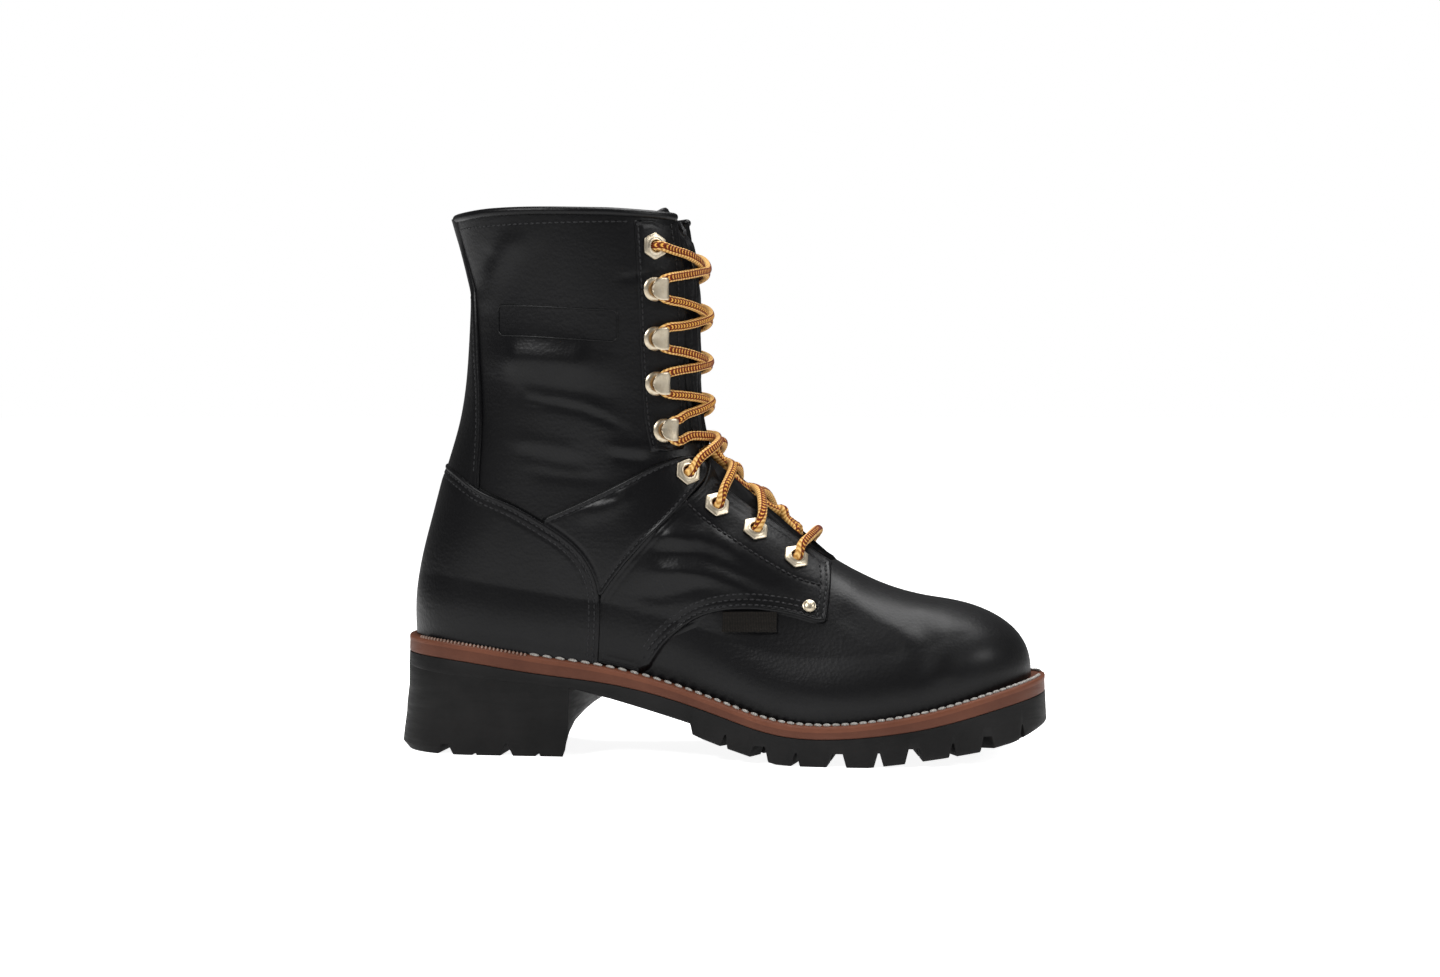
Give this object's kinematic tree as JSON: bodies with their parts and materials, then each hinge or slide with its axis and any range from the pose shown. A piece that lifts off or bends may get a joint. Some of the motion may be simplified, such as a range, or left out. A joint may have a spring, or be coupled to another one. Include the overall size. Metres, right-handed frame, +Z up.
{
  "type": "logger boot",
  "caption": "Black leather logger boot for the right foot: laced tall shaft with eyelets and hooks, brown welt, lugged rubber sole and high heel.",
  "frame": {"origin": "on the floor under the middle of the boot's box, which is the middle of the sole's length and of its width at the ball", "axes": "+X to the toe, +Y to the inner side of the right foot, +Z up"},
  "size_m": [0.31, 0.1104, 0.2578],
  "materials": {
    "black_leather": "smooth full-grain leather with a low sheen and fine creases",
    "insole_leather": "matt tan leather board",
    "brown_rubber": "red-brown welt and midsole, satin",
    "black_rubber": "matt moulded black rubber",
    "pale_brass": "polished pale brass plating",
    "lace_cord": "braided round lace, golden with a red-brown stripe",
    "tag_cloth": "plain dark woven tab"
  },
  "bodies": {
    "root": {"upper": "black_leather", "counter": "black_leather", "backstay": "black_leather", "strap_lateral": "black_leather", "strap_medial": "black_leather", "quarter_lateral": "black_leather", "quarter_medial": "black_leather", "collar_piping": "black_leather", "tongue": "black_leather", "insole": "insole_leather", "welt": "brown_rubber", "midsole": "brown_rubber", "outsole": "black_rubber", "heel": "black_rubber", "eyelet_lateral_1": "pale_brass", "eyelet_lateral_2": "pale_brass", "eyelet_lateral_3": "pale_brass", "eyelet_lateral_4": "pale_brass", "eyelet_lateral_5": "pale_brass", "hook_lateral_1": "pale_brass", "hook_lateral_2": "pale_brass", "hook_lateral_3": "pale_brass", "hook_lateral_4": "pale_brass", "rivet_lateral": "pale_brass", "eyelet_medial_1": "pale_brass", "eyelet_medial_2": "pale_brass", "eyelet_medial_3": "pale_brass", "eyelet_medial_4": "pale_brass", "eyelet_medial_5": "pale_brass", "hook_medial_1": "pale_brass", "hook_medial_2": "pale_brass", "hook_medial_3": "pale_brass", "hook_medial_4": "pale_brass", "rivet_medial": "pale_brass", "side_tag": "tag_cloth", "lace_1": "lace_cord", "lace_2": "lace_cord", "lace_3": "lace_cord", "lace_4": "lace_cord", "lace_5": "lace_cord", "lace_6": "lace_cord", "lace_7": "lace_cord", "lace_8": "lace_cord", "lace_9": "lace_cord"}
  },
  "joints": []
}
